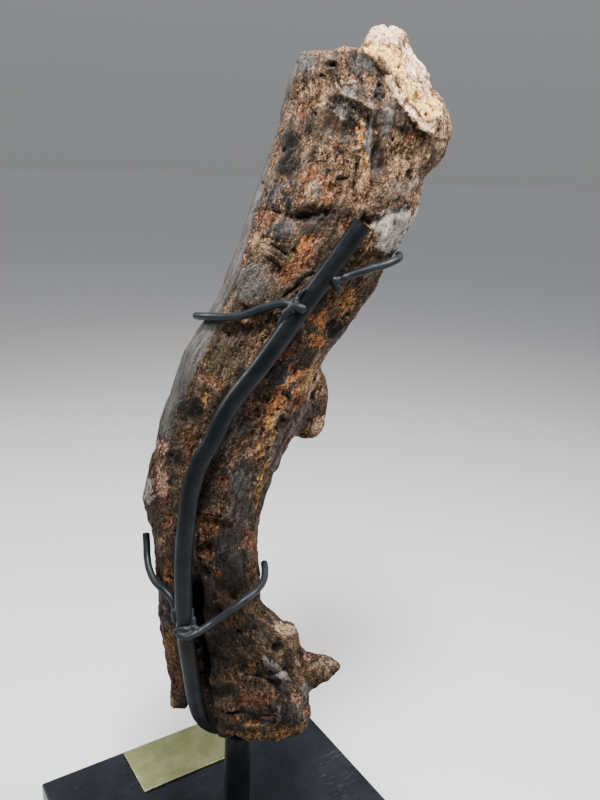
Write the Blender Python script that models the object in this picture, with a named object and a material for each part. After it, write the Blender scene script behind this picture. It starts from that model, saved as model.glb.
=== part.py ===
"""A fossil thigh bone of a small dinosaur on the bent-bar stand that holds it up.

Metres, +Z up. The origin is the centre of the underside of the base, and the name plate lies
along the base's +Y edge. The bone and the bars are described in the display's own frame:
heights are measured from the base's top, x runs along the bone's broad face, and y runs
through its thickness, with the spine bar on the -y side. An empty turns that frame on the base.
"""

import math
import random

import bmesh
import bpy
import numpy as np
from mathutils import Euler, Matrix, Vector, kdtree, noise

MM = 0.001

# Driving dimensions, in metres
BASE_SIDE = 0.240
BASE_THICKNESS = 0.028
BASE_EDGE_BEVEL = 0.0012
PLATE_SIZE = (0.100, 0.050, 0.0015)
PLATE_TO_EDGE = 0.003
PLATE_EDGE_BEVEL = 0.0003
POST_RADIUS = 0.010
POST_TOP = 0.090
SPINE_RADIUS = 0.006
ARM_RADIUS = 0.0025
TOUCH_GAP = 0.0003
DISPLAY_TURN = math.radians(-33.6)

# How finely the solids are faceted
RING_POINTS = 56
RING_STEP = 6.0
BONE_VOXEL = 0.0020
BONE_TRIANGLES = 6400
SPINE_SIDES = 14
ARM_SIDES = 8
BAR_STEPS = 2
POST_SIDES = 32
SHARP_ANGLE = math.radians(40)

# The shaft of the bone in millimetres: height, left, right, front, back, squareness
SHAFT = [
    (117, -52, 44, -24, 34, 2.6),
    (130, -53.5, 42, -25, 42, 2.6),
    (150, -56, 36, -26, 46, 2.6),
    (175, -60, 24, -26, 44, 2.6),
    (200, -61, 16, -27, 39, 2.5),
    (225, -61.5, 13, -27, 35, 2.4),
    (255, -64, 13, -27, 33, 2.4),
    (270, -68, 14, -26, 33, 2.3),
    (282, -69.5, 17, -25, 34, 2.3),
    (296, -68, 21, -24, 35, 2.3),
    (310, -65, 26, -23, 36, 2.3),
    (325, -61, 33, -21, 38, 2.3),
    (345, -55, 41, -19, 41, 2.3),
    (365, -49, 48, -17, 44, 2.3),
    (385, -42, 53, -15, 47, 2.3),
    (405, -29, 68, -12, 51, 2.4),
    (430, -17, 84.5, -9, 57, 2.4),
    (455, -9, 97, -6, 63, 2.4),
    (480, -1, 108, -3, 70, 2.5),
    (505, 7, 112, 0, 76, 2.6),
    (530, 14, 112, 3, 80, 2.7),
    (550, 18, 104, 5, 80, 2.8),
    (565, 23, 97, 7, 78, 3.0),
    (571, 26, 94, 9, 75, 3.0),
]


def principled(name, colour, roughness, metallic=0.0):
    """A plain material of one colour."""
    material = bpy.data.materials.new(name)
    material.use_nodes = True
    shader = material.node_tree.nodes["Principled BSDF"]
    shader.inputs["Base Color"].default_value = (*colour, 1.0)
    shader.inputs["Roughness"].default_value = roughness
    shader.inputs["Metallic"].default_value = metallic
    return material


def add_object(name, data, material=None, helper=False):
    """Puts a mesh or a curve in the scene; a helper only cuts or joins others."""
    obj = bpy.data.objects.new(name, data)
    bpy.context.scene.collection.objects.link(obj)
    if material:
        data.materials.append(material)
    if helper:
        obj.hide_render = True
        obj.display_type = "WIRE"
    return obj


def mesh_of(bm, name):
    """Closes a bmesh into a mesh whose faces point outwards, shaded smooth but for its edges."""
    bmesh.ops.recalc_face_normals(bm, faces=bm.faces)
    mesh = bpy.data.meshes.new(name)
    bm.to_mesh(mesh)
    bm.free()
    mesh.shade_smooth()
    mesh.set_sharp_from_angle(angle=SHARP_ANGLE)
    return mesh


def baked(obj):
    """The mesh that an object's modifiers make."""
    graph = bpy.context.evaluated_depsgraph_get()
    graph.update()
    return bpy.data.meshes.new_from_object(obj.evaluated_get(graph))


def at(point):
    """A point given in millimetres, in metres."""
    return Vector(point) * MM


# ---------------------------------------------------------------- bone


# Forms that grow out of the shaft: centre, half sizes, turn in degrees, squareness
LUMPS = [
    ((80, 48, 553), (18, 28, 37), (0, 0, 0), 3.0),  # head
    ((94, 44, 552), (14, 27, 20), (0, 0, 0), 2.4),  # the head's slope
    ((96.5, 42, 526), (28, 33, 29.5), (0, 0, 0), 2.4),  # shoulder below the head
    ((41, 20, 349), (15, 12, 27), (0, 3, 0), 2.8),  # hanging trochanter
    ((15.5, 6.5, 127), (35.5, 41.5, 26), (0, 4, 0), 3.3),  # end block of the knee joint
    ((42, 4, 111), (14.5, 27, 13), (0, 0, 0), 2.8),  # the block's swollen lower edge
    ((-15, 27, 111), (17, 17, 22), (0, 0, 0), 2.8),  # back of the end block, behind the spine bar's foot
    ((-6, -24, 126.5), (14, 11.5, 19), (0, 0, 0), 2.6),  # lip in front of the spine bar's foot
    ((-44, -8, 128), (6.8, 11, 15), (0, 0, 0), 3.2),  # thick lower end of the flange
    ((33.5, 8, 163), (11.5, 16, 19.5), (0, 4, 0), 2.5),  # knob above the thorn
    ((8, 6, 162), (26, 30, 32), (0, 0, 0), 2.3),  # root of the end block
]

# Convex pieces given by their corners
THORN = [
    (36, 0, 160), (36, 20, 158), (52, 2, 155), (55, 16, 156), (75, 5, 150), (77, 12, 147),
    (75, 8, 141), (66, 8, 133), (50, 0, 125), (50, 20, 126), (36, 4, 114), (36, 20, 114),
]  # fmt: skip
GROOVE = [
    (-38, -60, 80), (-18.5, -60, 80), (-20, -16, 80), (-35, 6, 80), (-24, 6, 80),
    (-37, -60, 150), (-19.5, -60, 150), (-21, -16, 150), (-33, 0, 150), (-25, 0, 150),
    (-31, -60, 262), (-26, -60, 262), (-29, -20, 262),
]  # fmt: skip
UNDERSIDE_NOTCH = [
    (-34, -30, 80), (-19, -30, 80), (-5, -18, 80), (8, -14, 80), (8, 16, 80), (-34, 16, 80),
    (-34, -30, 137), (-18, -30, 137), (-16, -17, 130), (-8.5, 0, 118), (-34, 4, 124),
    (2, -10, 109), (3, 7, 107),
]  # fmt: skip
FLANGE_END = [
    (-80, -60, 60), (-22, -60, 60), (-80, 30, 60), (-29, 30, 60),
    (-80, -60, 126), (-22, -60, 128), (-80, 34, 112), (-29, 34, 112),
]  # fmt: skip
# The plane along which the head's corner broke off: a point on it and its outward direction
BREAK_POINT = (83, 3, 553)
BREAK_OUTWARDS = (0.58, -0.61, 0.54)
BREAK_BLOCK = 140

# Creases and, where the depth is negative, ridges: side, two ends (x, height), width, depth.
# The front is the face towards the spine bar.
FRONT, BACK = -1, 1
CREASES = [
    (FRONT, (30, 474), (52, 480), 2.6, 2.4),
    (FRONT, (72, 472), (104, 484), 3.0, 2.0),
    (FRONT, (78, 505), (70, 530), 3.0, 2.4),
    (FRONT, (-27, 279), (-8, 276), 2.6, 2.0),
    (FRONT, (0, 132), (26, 127), 2.6, 2.2),
    (FRONT, (12, 456), (24, 450), 2.4, 1.6),
    (FRONT, (12, 446), (24, 434), 2.4, 1.6),
    (FRONT, (71, 536), (65, 472), 4.5, -2.6),
    (FRONT, (52, 545), (70, 536), 2.6, -2.6),
    (FRONT, (18, 178), (38, 154), 3.6, -2.0),
    (FRONT, (60, 448), (36, 408), 6.0, -1.6),
    (BACK, (10, 520), (-30, 330), 7.0, -2.2),
    (BACK, (-22, 240), (-14, 120), 7.0, 4.0),
    (BACK, (60, 500), (44, 430), 6.0, 2.4),
    (BACK, (-52, 292), (-20, 286), 3.0, 1.8),
]

# Ledges: side, two ends (x, height), how much higher the surface stands above that line, fade
LEDGES = [
    (FRONT, (26, 474), (54, 479), 3.0, 26),
    (FRONT, (72, 473), (106, 485), 2.6, 30),
    (FRONT, (-27, 279), (-6, 276), 2.0, 16),
    (FRONT, (40, 150), (2, 164), 3.4, 22),
    (FRONT, (-4, 420), (20, 400), 1.4, 20),
    (BACK, (30, 440), (80, 452), 2.6, 28),
    (BACK, (-50, 210), (-10, 204), 2.4, 22),
]

# Hollows: side, x, height, radius, depth
HOLLOWS = [
    (FRONT, 52, 528, 13, 3.0),
    (FRONT, 4, 186, 15, 2.8),
    (FRONT, -24, 256, 7, 3.4),
    (FRONT, -22, 240, 6, 2.4),
    (FRONT, -31, 346, 8, 1.8),
    (FRONT, 93, 504, 17, 3.4),
    (FRONT, 14, 365, 9, 1.6),
    (BACK, 40, 540, 20, 3.0),
    (BACK, 14, 150, 18, 3.0),
    (BACK, 10, 360, 12, 2.0),
]

# Small round pits in the rough parts: how many, and the least and most of radius and depth
PIT_SEED = 7
PIT_COUNT = 150
PIT_RADII = (2.5, 5.5)
PIT_DEPTHS = (0.8, 2.2)

# Relief all over the surface: its height and the size of its waves, which streaks draw out upwards
SWELL, SWELL_WAVE = 1.5, 36
STREAK, STREAK_WAVES = 0.7, (9, 9, 55)
KNOBBLE, KNOBBLE_WAVE, KNOBBLE_MEAN = 1.1, 14, 0.73
FRACTAL = (0.8, 2.0, 3)

# The smooth rind along the left margin: how wide, where it starts and ends, how much calmer it is
RIND_WIDTH = (14, 26)
RIND_FOOT = (255, 300)
RIND_TOP = (520, 560)
RIND_CALM = 0.8

# A mark on one side of the bone fades where the surface turns edge on
FACING = (0.1, 0.5)
LEDGE_TAPER = 0.12
LEDGE_EDGE = 0.8
LEDGE_FLAT = 2.0
SMOOTHINGS = 3


def shaft_ring(height):
    """The outline of the shaft at one height, as points in millimetres."""
    heights = [row[0] for row in SHAFT]
    left, right, front, back, square = (
        float(np.interp(height, heights, [row[column] for row in SHAFT])) for column in range(1, 6)
    )
    points = []
    for step in range(RING_POINTS):
        angle = 2 * math.pi * step / RING_POINTS
        across = math.copysign(abs(math.cos(angle)) ** (2 / square), math.cos(angle))
        deep = math.copysign(abs(math.sin(angle)) ** (2 / square), math.sin(angle))
        x = (left + right) / 2 + across * (right - left) / 2
        y = (front + back) / 2 + deep * (back - front) / 2
        points.append((x, y, height))
    return points


def add_shaft(bm):
    """Lofts the shaft from its lowest ring to its broken top."""
    lowest, highest = SHAFT[0][0], SHAFT[-1][0]
    count = round((highest - lowest) / RING_STEP)
    rings = []
    for index in range(count + 1):
        height = lowest + (highest - lowest) * index / count
        rings.append([bm.verts.new(at(point)) for point in shaft_ring(height)])
    for low, high in zip(rings, rings[1:]):
        for step in range(RING_POINTS):
            after = (step + 1) % RING_POINTS
            bm.faces.new((low[step], low[after], high[after], high[step]))
    bm.faces.new(rings[0])
    bm.faces.new(rings[-1])


def add_lump(bm, centre, half_sizes, turn, square=2.0, fineness=4):
    """Adds a rounded block: a ball whose corners fill out as square grows past 2."""
    rotation = Euler([math.radians(angle) for angle in turn]).to_matrix()
    ball = bmesh.ops.create_icosphere(bm, subdivisions=fineness, radius=1.0)
    for vert in ball["verts"]:
        rounded = sum(abs(part) ** square for part in vert.co) ** (1 / square)
        local = Vector(half * part / rounded for half, part in zip(half_sizes, vert.co))
        vert.co = at(Vector(centre) + rotation @ local)


def add_hull(bm, corners):
    """Adds the convex solid around some corners."""
    verts = [bm.verts.new(at(corner)) for corner in corners]
    hull = bmesh.ops.convex_hull(bm, input=verts)
    inside = [part for part in hull["geom_interior"] if isinstance(part, bmesh.types.BMVert)]
    bmesh.ops.delete(bm, geom=inside, context="VERTS")


def cutter(name, corners):
    """A convex helper that a Boolean takes away."""
    bm = bmesh.new()
    add_hull(bm, corners)
    return add_object(name, mesh_of(bm, name), helper=True)


def break_cutter():
    """A block whose flat side is the break across the head."""
    bm = bmesh.new()
    outwards = Vector(BREAK_OUTWARDS).normalized()
    place = Matrix.Translation(at(BREAK_POINT) + outwards * BREAK_BLOCK * MM / 2)
    turn = outwards.to_track_quat("Z", "Y").to_matrix().to_4x4()
    bmesh.ops.create_cube(bm, size=BREAK_BLOCK * MM, matrix=place @ turn)
    return add_object("break", mesh_of(bm, "break"), helper=True)


def remesh(obj):
    """Makes one closed skin of all that the object holds."""
    modifier = obj.modifiers.new("one skin", "REMESH")
    modifier.mode = "VOXEL"
    modifier.voxel_size = BONE_VOXEL


def cut(obj, helper):
    """Takes a helper away from an object."""
    modifier = obj.modifiers.new(helper.name, "BOOLEAN")
    modifier.operation = "DIFFERENCE"
    modifier.solver = "EXACT"
    modifier.object = helper


def bone_form():
    """The bone's form before its surface is worked: shaft, lumps and thorn, less what broke away."""
    bm = bmesh.new()
    add_shaft(bm)
    for lump in LUMPS:
        add_lump(bm, *lump)
    add_hull(bm, THORN)
    form = add_object("bone_form", mesh_of(bm, "bone_form"), helper=True)
    helpers = [
        cutter("groove", GROOVE),
        cutter("flange_end", FLANGE_END),
        cutter("underside_notch", UNDERSIDE_NOTCH),
        break_cutter(),
    ]
    remesh(form)
    for helper in helpers:
        cut(form, helper)
    remesh(form)
    mesh = baked(form)
    for obj in [form, *helpers]:
        bpy.data.objects.remove(obj)
    return mesh


def ramp(value, low, high):
    """0 below low, 1 above high, smooth between."""
    part = min(max((value - low) / (high - low), 0.0), 1.0)
    return part * part * (3 - 2 * part)


def from_segment(point, start, end):
    """How far a point of the broad face lies from a segment on it."""
    along = Vector(end) - Vector(start)
    offset = Vector(point) - Vector(start)
    part = min(max(offset.dot(along) / along.length_squared, 0.0), 1.0)
    return (offset - along * part).length


def above_ledge(point, start, end, fade):
    """1 just past a ledge's line, on the left of its direction, falling to 0 over the fade."""
    along = Vector(end) - Vector(start)
    offset = Vector(point) - Vector(start)
    part = offset.dot(along) / along.length_squared
    past = along.cross(offset) / along.length
    ends = ramp(part, -LEDGE_TAPER, LEDGE_TAPER) * (1 - ramp(part, 1 - LEDGE_TAPER, 1 + LEDGE_TAPER))
    return ends * ramp(past, -LEDGE_EDGE, LEDGE_EDGE) * (1 - ramp(past, LEDGE_FLAT, fade))


def cortex(place):
    """How much of the smooth outer rind is left: 1 along the shaft's left margin."""
    left = float(np.interp(place.z, [row[0] for row in SHAFT], [row[1] for row in SHAFT]))
    margin = 1 - ramp(place.x - left, *RIND_WIDTH)
    return margin * ramp(place.z, *RIND_FOOT) * (1 - ramp(place.z, *RIND_TOP))


def relief(place, normal):
    """How far the surface stands out at a place in millimetres."""
    rough = 1 - RIND_CALM * cortex(place)
    high = SWELL * noise.fractal(place / SWELL_WAVE, *FRACTAL)
    streaked = Vector(part / wave for part, wave in zip(place, STREAK_WAVES))
    high += STREAK * rough * noise.fractal(streaked, *FRACTAL)
    high += KNOBBLE * (rough * noise.turbulence(place / KNOBBLE_WAVE, 3, False) - KNOBBLE_MEAN)
    spot = (place.x, place.z)
    for side, start, end, width, depth in CREASES:
        facing = ramp(side * normal.y, *FACING)
        high -= facing * depth * math.exp(-((from_segment(spot, start, end) / width) ** 2))
    for side, start, end, step, fade in LEDGES:
        facing = ramp(side * normal.y, *FACING)
        high += facing * step * above_ledge(spot, start, end, fade)
    for side, x, height, radius, depth in HOLLOWS:
        facing = ramp(side * normal.y, *FACING)
        away = math.hypot(place.x - x, place.z - height)
        high -= facing * depth * (1 - ramp(away, 0.4 * radius, radius))
    return high


def pit(bm):
    """Presses the pits into the rough parts of the surface."""
    chance = random.Random(PIT_SEED)
    verts = list(bm.verts)
    tree = kdtree.KDTree(len(verts))
    for index, vert in enumerate(verts):
        tree.insert(vert.co, index)
    tree.balance()
    for centre in chance.sample(verts, PIT_COUNT):
        if cortex(centre.co / MM) > 0.3:
            continue
        radius = chance.uniform(*PIT_RADII) * MM
        depth = chance.uniform(*PIT_DEPTHS) * MM
        inwards = -centre.normal.copy()
        for _, index, away in tree.find_range(centre.co, radius):
            verts[index].co += inwards * depth * (1 - ramp(away, 0.2 * radius, radius))


def make_bone():
    """The fossil, one closed solid with its lumps, ledges, ridges and pits."""
    bm = bmesh.new()
    bm.from_mesh(bone_form())
    every_way = {"use_axis_x": True, "use_axis_y": True, "use_axis_z": True}
    for _ in range(SMOOTHINGS):
        bmesh.ops.smooth_vert(bm, verts=bm.verts, factor=0.5, **every_way)
    bm.normal_update()
    for vert in bm.verts:
        place = vert.co / MM
        vert.co += vert.normal * relief(place, vert.normal) * MM
    bm.normal_update()
    pit(bm)
    mesh = mesh_of(bm, "bone")
    bone = add_object("bone", mesh, principled("fossil bone", (0.19, 0.14, 0.10), 0.75))
    modifier = bone.modifiers.new("facets", "DECIMATE")
    modifier.ratio = BONE_TRIANGLES / sum(len(face.vertices) - 2 for face in mesh.polygons)
    return bone


# ---------------------------------------------------------------- bars


# Routes along the middle of each bar, in millimetres
SPINE_ROUTE = [
    (0, 0, 90.3), (0, 0, 93), (-3, -3, 97.5), (-9.5, -9.5, 103), (-18, -17.5, 111.8), (-24.8, -26, 127),
    (-27.6, -28, 138), (-31.2, -31, 167), (-33.8, -33, 192), (-35.5, -34, 224), (-35.4, -34, 254),
    (-33.2, -33, 283), (-31.8, -32, 297), (-29.2, -31, 309), (-24.5, -29.5, 322.5), (-17.5, -28, 336),
    (-9, -26, 355), (11.5, -23.2, 384.5), (33.5, -18.5, 418), (52, -14, 445.5), (69, -10.5, 471),
]  # fmt: skip
UPPER_LEFT_ROUTE = [
    (37.2, -26.3, 421.6), (33, -25.6, 422), (28.5, -21, 422.5), (24, -16.5, 422.2), (12, -13, 418.5),
    (-3.6, -10.6, 412), (-13.5, -7.2, 410.3), (-22.6, -0.6, 409), (-30.5, 9, 407), (-35.3, 20, 405),
]  # fmt: skip
UPPER_RIGHT_ROUTE = [
    (53.4, -16, 437), (57, -13, 438), (63.2, -9.5, 440.2), (69.4, -6.5, 441.9), (75.7, -3, 443.6),
    (82.6, -0.4, 445.3), (90, 6, 447.5), (95.2, 16, 449), (96.6, 27, 450),
]  # fmt: skip
LOWER_LEFT_ROUTE = [
    (-41.5, -32, 213.4), (-43, -29.4, 218.9), (-49, -25, 224), (-57, -18.6, 227),
    (-62.6, -11.3, 232), (-65.6, -4.5, 238), (-67, 1, 244.6), (-68.4, 6, 251.3),
]  # fmt: skip
LOWER_RIGHT_ROUTE = [
    (-38.2, -41, 202.5), (-32.6, -43, 201.8), (-26.8, -41.5, 203.4), (-22.1, -37, 204.4),
    (-16.6, -33, 206.6), (-3.6, -30, 215.8), (2.8, -27, 220), (8.5, -22, 222.5),
    (12.9, -15, 223.5), (16, -5.2, 224.4), (16.4, 4.2, 226.3), (15.2, 13, 228.1),
]  # fmt: skip

# Weld beads of each arm: centre, half sizes, turn in degrees
UPPER_LEFT_WELDS = [
    ((37, -25.6, 421), (3.8, 3.0, 3.0), (0, 0, 0)),
    ((25.5, -19, 415.5), (2.6, 3.2, 8.5), (0, 34, 0)),
]
UPPER_RIGHT_WELDS = [
    ((54, -17.5, 434.5), (3.4, 3.0, 4.6), (0, -35, 0)),
]
LOWER_LEFT_WELDS = [
    ((-41.3, -33.5, 211.5), (3.2, 3.2, 5.4), (0, 0, 0)),
]
LOWER_RIGHT_WELDS = [
    ((-34, -41, 204.5), (4.4, 3.2, 2.8), (0, 0, 0)),
    ((-29.5, -38, 207), (2.6, 2.8, 4.6), (0, 30, 0)),
]


def bar(name, route, radius, sides, material=None, helper=False):
    """A round bar that runs smoothly through the points of its route."""
    curve = bpy.data.curves.new(name, "CURVE")
    curve.dimensions = "3D"
    curve.bevel_depth = radius
    # Blender gives a round bevel twice its resolution plus four sides
    curve.bevel_resolution = (sides - 4) // 2
    curve.resolution_u = BAR_STEPS
    curve.use_fill_caps = True
    spline = curve.splines.new("BEZIER")
    spline.bezier_points.add(len(route) - 1)
    for point, place in zip(spline.bezier_points, route):
        point.co = at(place)
        point.handle_left_type = "AUTO"
        point.handle_right_type = "AUTO"
    return add_object(name, curve, material, helper)


def solid_bar(name, route, radius, sides):
    """The mesh of a bar, left in a helper."""
    guide = bar(name, route, radius, sides, helper=True)
    mesh = baked(guide)
    bpy.data.objects.remove(guide)
    return add_object(name, mesh, helper=True)


def make_arm(name, route, welds, paint):
    """An arm with its weld beads, hollowed to lie against the spine bar with a hair's gap."""
    arm = solid_bar(name, route, ARM_RADIUS, ARM_SIDES)
    helpers = []
    for centre, half_sizes, turn in welds:
        bm = bmesh.new()
        add_lump(bm, centre, half_sizes, turn, fineness=2)
        bead = add_object("bead", mesh_of(bm, "bead"), helper=True)
        modifier = arm.modifiers.new("weld", "BOOLEAN")
        modifier.operation = "UNION"
        modifier.object = bead
        helpers.append(bead)
    spine_room = solid_bar("spine_room", SPINE_ROUTE, SPINE_RADIUS + TOUCH_GAP, SPINE_SIDES)
    cut(arm, spine_room)
    mesh = baked(arm)
    for obj in [arm, spine_room, *helpers]:
        bpy.data.objects.remove(obj)
    mesh.name = name
    return add_object(name, mesh, paint)


# ---------------------------------------------------------------- stand


def make_slab(name, size, bottom, edge_bevel, material):
    """A flat block that rests at a height, with slightly broken edges."""
    bm = bmesh.new()
    bmesh.ops.create_cube(bm, size=1.0)
    bmesh.ops.scale(bm, vec=size, verts=bm.verts)
    slab = add_object(name, mesh_of(bm, name), material)
    slab.location.z = bottom + size[2] / 2
    bevel = slab.modifiers.new("edges", "BEVEL")
    bevel.width = edge_bevel
    bevel.segments = 2
    return slab


def make_post(paint):
    """The round post, from the base to the spine bar's foot."""
    length = POST_TOP - TOUCH_GAP
    bm = bmesh.new()
    bmesh.ops.create_cone(
        bm,
        cap_ends=True,
        segments=POST_SIDES,
        radius1=POST_RADIUS,
        radius2=POST_RADIUS,
        depth=length,
    )
    post = add_object("post", mesh_of(bm, "post"), paint)
    post.location.z = BASE_THICKNESS + TOUCH_GAP + length / 2
    return post


def main():
    for obj in list(bpy.data.objects):
        bpy.data.objects.remove(obj)

    paint = principled("black paint", (0.035, 0.038, 0.045), 0.38)
    slab_finish = principled("black slab", (0.02, 0.02, 0.025), 0.4)
    brass = principled("pale brass", (0.62, 0.60, 0.42), 0.45, 0.6)

    make_slab("base", (BASE_SIDE, BASE_SIDE, BASE_THICKNESS), 0.0, BASE_EDGE_BEVEL, slab_finish)
    plate_bottom = BASE_THICKNESS + TOUCH_GAP
    plate = make_slab("name_plate", PLATE_SIZE, plate_bottom, PLATE_EDGE_BEVEL, brass)
    plate.location.y = BASE_SIDE / 2 - PLATE_TO_EDGE - PLATE_SIZE[1] / 2
    make_post(paint)

    display = bpy.data.objects.new("display", None)
    bpy.context.scene.collection.objects.link(display)
    display.location.z = BASE_THICKNESS
    display.rotation_euler.z = DISPLAY_TURN
    for held in (
        make_bone(),
        bar("spine_rod", SPINE_ROUTE, SPINE_RADIUS, SPINE_SIDES, paint),
        make_arm("upper_left_arm", UPPER_LEFT_ROUTE, UPPER_LEFT_WELDS, paint),
        make_arm("upper_right_arm", UPPER_RIGHT_ROUTE, UPPER_RIGHT_WELDS, paint),
        make_arm("lower_left_arm", LOWER_LEFT_ROUTE, LOWER_LEFT_WELDS, paint),
        make_arm("lower_right_arm", LOWER_RIGHT_ROUTE, LOWER_RIGHT_WELDS, paint),
    ):
        held.parent = display


main()
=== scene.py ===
"""The looks of a fossil thigh bone and of its bent-bar stand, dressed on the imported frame.

Lengths in the code are millimetres in the display's own frame unless a comment says otherwise:
heights start at the base's top, x runs along the bone's broad face, y through its thickness, and
the spine bar is on the -y side. Marks that only the photograph can place are given by the pixel
where the photograph's camera sees them, and are laid on the surface from that viewpoint.
"""

import math
from concurrent.futures import ThreadPoolExecutor
from itertools import product

import bmesh
import bpy
import numpy as np
from mathutils import Matrix, Vector


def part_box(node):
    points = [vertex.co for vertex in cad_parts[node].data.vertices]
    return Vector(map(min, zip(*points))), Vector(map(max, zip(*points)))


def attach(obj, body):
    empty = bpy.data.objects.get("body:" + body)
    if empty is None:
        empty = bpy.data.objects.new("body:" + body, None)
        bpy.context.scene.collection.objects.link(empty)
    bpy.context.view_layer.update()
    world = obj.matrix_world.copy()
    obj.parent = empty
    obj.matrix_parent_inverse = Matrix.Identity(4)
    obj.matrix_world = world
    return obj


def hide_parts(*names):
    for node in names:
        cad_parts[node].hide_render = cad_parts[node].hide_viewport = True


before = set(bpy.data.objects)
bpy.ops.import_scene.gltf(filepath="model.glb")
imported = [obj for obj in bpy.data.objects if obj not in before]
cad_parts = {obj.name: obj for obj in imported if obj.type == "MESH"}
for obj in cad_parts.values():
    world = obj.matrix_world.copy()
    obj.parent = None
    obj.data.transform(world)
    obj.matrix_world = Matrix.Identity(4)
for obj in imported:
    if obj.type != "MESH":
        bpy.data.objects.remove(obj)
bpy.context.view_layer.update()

MM = 0.001
BODY = "root"
BASE_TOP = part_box("base")[1].z

# The display is turned on its base. The camera's place is in the display's frame, in metres.
DISPLAY_TURN = math.radians(-33.6)
CAMERA_PLACE = (0.036, -0.471, 0.50)
CAMERA_DOWN = math.radians(17)
CAMERA_ROLL = math.radians(2.5)
FOCAL_PIXELS = 750
IMAGE_WIDTH, IMAGE_HEIGHT = 600, 800
SENSOR = 36

DISPLAY = Matrix.Translation((0, 0, BASE_TOP)) @ Matrix.Rotation(DISPLAY_TURN, 4, "Z")


# ---------------- numbers on surfaces

THREADS = 4
AXIS_PRIMES = (np.uint32(73856093), np.uint32(19349663), np.uint32(83492791))
TEN_BITS = np.uint32(1023)


def smoothstep(value, low, high):
    """0 below low, 1 above high, smooth between; works on arrays."""
    part = np.clip((value - low) / (high - low), 0.0, 1.0)
    return part * part * (3 - 2 * part)


def scrambled(number):
    """A whole number that shows no pattern of the one it comes from."""
    number = (number ^ (number >> np.uint32(15))) * np.uint32(2246822519)
    number = (number ^ (number >> np.uint32(13))) * np.uint32(3266489917)
    return number ^ (number >> np.uint32(16))


def seed_mark(seed):
    return np.uint32(seed * 40503 + 977)


def lattice(points, offsets):
    """The points' places in their unit cells, and for each axis the scrambling part of each offset cell."""
    base = np.floor(points)
    part = (points - base).astype(np.float32).T
    whole = base.astype(np.int64).astype(np.uint32).T
    keys = [
        {offset: (whole[axis] + np.uint32(offset % 2**32)) * AXIS_PRIMES[axis] for offset in offsets}
        for axis in range(3)
    ]
    return part, keys


SIGNS = list(product((-1, 1), repeat=2))
SLOPES = [(a, b, 0) for a, b in SIGNS] + [(a, 0, b) for a, b in SIGNS] + [(0, a, b) for a, b in SIGNS]
SLOPES += [(1, 1, 0), (-1, 1, 0), (0, -1, 1), (0, -1, -1)]
SLOPES = np.array(SLOPES, np.float32).T.copy()


def gradient_noise(points, seed):
    """Smooth noise from about -1 to 1 with waves about one unit long."""
    part, keys = lattice(points, (0, 1))
    fade = part**3 * (part * (part * 6 - 15) + 10)
    blend = [(1 - share, share) for share in fade]
    mark = seed_mark(seed)
    total = np.zeros(len(points), np.float32)
    for x, y, z in product((0, 1), repeat=3):
        number = scrambled(keys[0][x] ^ keys[1][y] ^ keys[2][z] ^ mark) & np.uint32(15)
        slope = sum(SLOPES[axis][number] * (part[axis] - side) for axis, side in enumerate((x, y, z)))
        total += blend[0][x] * blend[1][y] * blend[2][z] * slope
    return total


def fractal(points, wave, octaves=4, gain=0.5, seed=0):
    """Noise of several scales, the longest of which has the given wave (a length, or one per axis)."""

    def piece(points):
        scaled = points / np.array(wave)
        return (sum(gain**n * gradient_noise(scaled * 2**n, seed + n) for n in range(octaves)),)

    return in_pieces(piece, points)[0]


def cells(points, size, seed):
    """The distances, in cells, to the nearest and the next of random points, one to a cell, and a chance
    number for the nearest."""
    mark = seed_mark(seed)

    def piece(points):
        part, keys = lattice(points / np.array(size), (-1, 0, 1))
        nearest = np.full(len(points), 9.0, np.float32)
        following = nearest.copy()
        chance = np.zeros(len(points), np.float32)
        for cell in product((-1, 0, 1), repeat=3):
            number = scrambled(keys[0][cell[0]] ^ keys[1][cell[1]] ^ keys[2][cell[2]] ^ mark)
            away = np.zeros(len(points), np.float32)
            for axis, shift in enumerate((0, 10, 20)):
                place = (number >> np.uint32(shift) & TEN_BITS) / np.float32(1024)
                away += np.square(place + cell[axis] - part[axis])
            closer = away < nearest
            following = np.where(closer, nearest, np.minimum(following, away))
            chance = np.where(closer, scrambled(number) / np.float32(2**32), chance)
            nearest = np.where(closer, away, nearest)
        return np.sqrt(nearest), np.sqrt(following), chance

    return in_pieces(piece, points)


def in_pieces(work, points):
    """Runs the work on parts of the points side by side, and joins each of the arrays that it gives."""
    with ThreadPoolExecutor(THREADS) as pool:
        results = list(pool.map(work, np.array_split(points, 2 * THREADS)))
    return [np.concatenate(arrays).astype(float) for arrays in zip(*results)]


# ---------------- the photograph's view


def camera_axes():
    """The camera's right, up and forward directions in the display's frame."""
    right = np.array([1.0, 0.0, 0.0])
    up = np.array([0.0, math.sin(CAMERA_DOWN), math.cos(CAMERA_DOWN)])
    forward = np.array([0.0, math.cos(CAMERA_DOWN), -math.sin(CAMERA_DOWN)])
    turned_right = math.cos(CAMERA_ROLL) * right + math.sin(CAMERA_ROLL) * up
    turned_up = math.cos(CAMERA_ROLL) * up - math.sin(CAMERA_ROLL) * right
    return turned_right, turned_up, forward


def pixels_of(points):
    """Where the photograph's camera sees points of the display's frame, as (N, 2) pixels."""
    right, up, forward = camera_axes()
    offset = points * MM - np.array(CAMERA_PLACE)
    depth = offset @ forward
    across = IMAGE_WIDTH / 2 + FOCAL_PIXELS * (offset @ right) / depth
    down = IMAGE_HEIGHT / 2 - FOCAL_PIXELS * (offset @ up) / depth
    return np.stack([across, down], axis=1)


def facing_camera(points, normals):
    """How squarely the surface faces the photograph's camera: 1 head on, 0 edge on, below 0 turned away."""
    towards = np.array(CAMERA_PLACE) / MM - points
    towards /= np.linalg.norm(towards, axis=1)[:, None]
    return np.einsum("ij,ij->i", towards, normals)


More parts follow.
